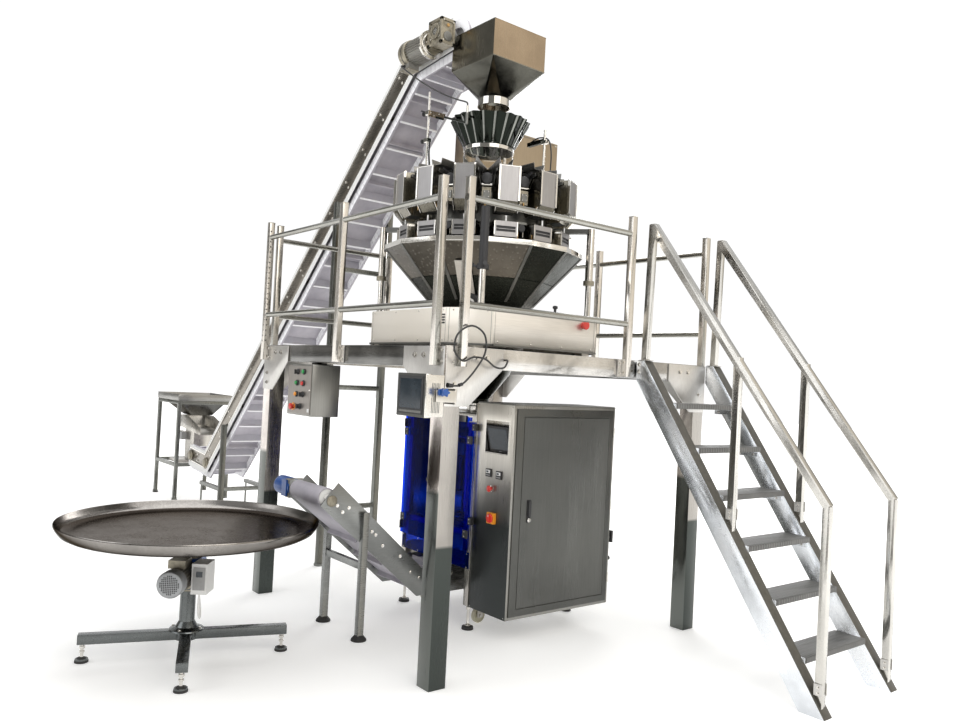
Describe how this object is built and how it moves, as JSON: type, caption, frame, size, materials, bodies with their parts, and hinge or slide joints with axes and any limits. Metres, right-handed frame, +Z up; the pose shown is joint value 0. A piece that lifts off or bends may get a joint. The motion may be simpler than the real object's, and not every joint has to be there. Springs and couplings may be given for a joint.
{
  "type": "vertical form fill sealer",
  "caption": "Vertical bag forming, filling and sealing machine under a work platform, with multi-head weigher, cleated elevator, feeder, take-off conveyor and rotary table",
  "frame": {"origin": "middle of the bounding box at floor level", "axes": "+X runs from the infeed feeder to the foot of the stairs, +Y from the operator front to the rear, +Z is up"},
  "size_m": [8.498, 3.862, 4.1694],
  "materials": {
    "brushed_stainless": "brushed stainless sheet and tube",
    "bright_steel": "polished stainless",
    "dark_steel": "dull machined steel",
    "white_belt": "white belting",
    "blue_guard": "tinted transparent guard panel",
    "clear_acrylic": "clear acrylic",
    "red_plastic": "moulded",
    "cream_wheel": "moulded nylon",
    "cast_grey": "die cast, painted grey",
    "film": "wound film",
    "black_rubber": "matt",
    "beige_housing": "satin"
  },
  "bodies": {
    "root": {"deck_frame": "brushed_stainless", "leg_front_right": "brushed_stainless", "leg_front_left": "brushed_stainless", "leg_rear_right": "brushed_stainless", "leg_rear_left": "brushed_stainless", "guard_rail_front": "brushed_stainless", "guard_rail_right": "brushed_stainless", "guard_rail_rear": "brushed_stainless", "guard_rail_left": "brushed_stainless", "staircase": "brushed_stainless", "stair_handrail_inner": "bright_steel", "stair_handrail_outer": "bright_steel", "sealer_frame": "brushed_stainless", "forming_tube": "bright_steel", "side_cabinet": "brushed_stainless", "weigher_base": "brushed_stainless", "weigher_cone": "brushed_stainless", "weigher_core": "dark_steel", "feed_hopper_ring": "brushed_stainless", "weigh_hopper_ring": "brushed_stainless", "funnel_cylinder": "clear_acrylic", "top_funnel": "bright_steel", "discharge_chute": "brushed_stainless", "control_housing": "beige_housing", "level_sensor": "brushed_stainless", "elevator_belt": "white_belt", "elevator_frame": "brushed_stainless", "elevator_gearmotor": "cast_grey", "elevator_stand_upper": "brushed_stainless", "elevator_stand_lower": "brushed_stainless", "head_hopper": "brushed_stainless", "feeder_stand": "brushed_stainless", "feeder_hopper": "brushed_stainless", "feeder_pan": "brushed_stainless", "takeoff_belt": "white_belt", "takeoff_frame": "brushed_stainless", "table_base": "brushed_stainless", "table_gearmotor": "cast_grey", "control_box": "brushed_stainless", "hmi_bracket": "brushed_stainless", "hmi_cable": "black_rubber", "motor_cable": "black_rubber"},
    "table_disc": {"table_disc": "brushed_stainless"},
    "film_roll": {"film_roll": "film"},
    "dancer_bar": {"dancer_bar": "bright_steel"},
    "elevator_drum": {"elevator_drum": "dark_steel"},
    "takeoff_roller": {"takeoff_roller": "dark_steel"},
    "guard_door_left": {"guard_door_left": "blue_guard"},
    "guard_door_right": {"guard_door_right": "blue_guard"},
    "cabinet_door": {"cabinet_door": "brushed_stainless"},
    "jaw_front": {"jaw_front": "dark_steel"},
    "jaw_rear": {"jaw_rear": "dark_steel"},
    "pull_belt_left": {"pull_belt_left": "black_rubber"},
    "pull_belt_right": {"pull_belt_right": "black_rubber"},
    "caster_wheel_left": {"caster_wheel_left": "cream_wheel"},
    "caster_wheel_right": {"caster_wheel_right": "cream_wheel"},
    "mains_switch": {"mains_switch": "red_plastic"},
    "stop_button": {"stop_button": "red_plastic"},
    "control_box_stop": {"control_box_stop": "red_plastic"},
    "hmi_terminal": {"hmi_terminal": "brushed_stainless"}
  },
  "joints": [
    {"name": "table_spin", "type": "hinge", "parent": "root", "child": "table_disc", "pos_m": [1.774, -1.231, 0.7], "axis": [0, 0, 1], "continuous": true},
    {"name": "film_roll_spin", "type": "hinge", "parent": "root", "child": "film_roll", "pos_m": [1.791, 1.241, 0.45], "axis": [1, 0, 0], "continuous": true},
    {"name": "dancer_swing", "type": "hinge", "parent": "root", "child": "dancer_bar", "pos_m": [1.791, 1.301, 0.9], "axis": [1, 0, 0], "range_deg": [-12, 12]},
    {"name": "elevator_drum_spin", "type": "hinge", "parent": "root", "child": "elevator_drum", "pos_m": [1.691, 0.681, 4.03], "axis": [0, 1, 0], "continuous": true},
    {"name": "takeoff_roller_spin", "type": "hinge", "parent": "root", "child": "takeoff_roller", "pos_m": [1.791, -0.509, 0.878], "axis": [1, 0, 0], "continuous": true},
    {"name": "guard_door_left_hinge", "type": "hinge", "parent": "root", "child": "guard_door_left", "pos_m": [1.4, 0.411, 0.9], "axis": [0, 0, -1], "range_deg": [0, 105]},
    {"name": "guard_door_right_hinge", "type": "hinge", "parent": "root", "child": "guard_door_right", "pos_m": [2.182, 0.411, 0.9], "axis": [0, 0, 1], "range_deg": [0, 105]},
    {"name": "cabinet_door_hinge", "type": "hinge", "parent": "root", "child": "cabinet_door", "pos_m": [2.58, 1.333, 0.8], "axis": [0, 0, 1], "range_deg": [0, 60]},
    {"name": "jaw_front_close", "type": "slide", "parent": "root", "child": "jaw_front", "axis": [0, 1, 0], "range_m": [0, 0.048]},
    {"name": "jaw_rear_close", "type": "slide", "parent": "root", "child": "jaw_rear", "axis": [0, -1, 0], "range_m": [0, 0.048]},
    {"name": "pull_belt_right_press", "type": "slide", "parent": "root", "child": "pull_belt_right", "axis": [-1, 0, 0], "range_m": [0, 0.018]},
    {"name": "pull_belt_left_press", "type": "slide", "parent": "root", "child": "pull_belt_left", "axis": [1, 0, 0], "range_m": [0, 0.018]},
    {"name": "caster_left_spin", "type": "hinge", "parent": "root", "child": "caster_wheel_left", "pos_m": [1.491, 0.614, 0.052], "axis": [1, 0, 0], "continuous": true},
    {"name": "caster_right_spin", "type": "hinge", "parent": "root", "child": "caster_wheel_right", "pos_m": [2.091, 0.614, 0.052], "axis": [1, 0, 0], "continuous": true},
    {"name": "mains_switch_turn", "type": "hinge", "parent": "root", "child": "mains_switch", "pos_m": [2.397, 0.431, 0.762], "axis": [0, -1, 0], "range_deg": [0, 90]},
    {"name": "stop_button_press", "type": "slide", "parent": "root", "child": "stop_button", "axis": [0, 1, 0], "range_m": [0, 0.004], "stiffness_N_per_m": 600},
    {"name": "control_box_stop_press", "type": "slide", "parent": "root", "child": "control_box_stop", "axis": [0, 1, 0], "range_m": [0, 0.004], "stiffness_N_per_m": 600},
    {"name": "hmi_tilt", "type": "hinge", "parent": "root", "child": "hmi_terminal", "pos_m": [2.898, -0.474, 1.535], "axis": [1, 0, 0], "range_deg": [-15, 15]}
  ],
  "couplings": [
    {"joint": "jaw_rear_close", "follows": "jaw_front_close", "ratio": 1},
    {"joint": "pull_belt_left_press", "follows": "pull_belt_right_press", "ratio": 1}
  ]
}
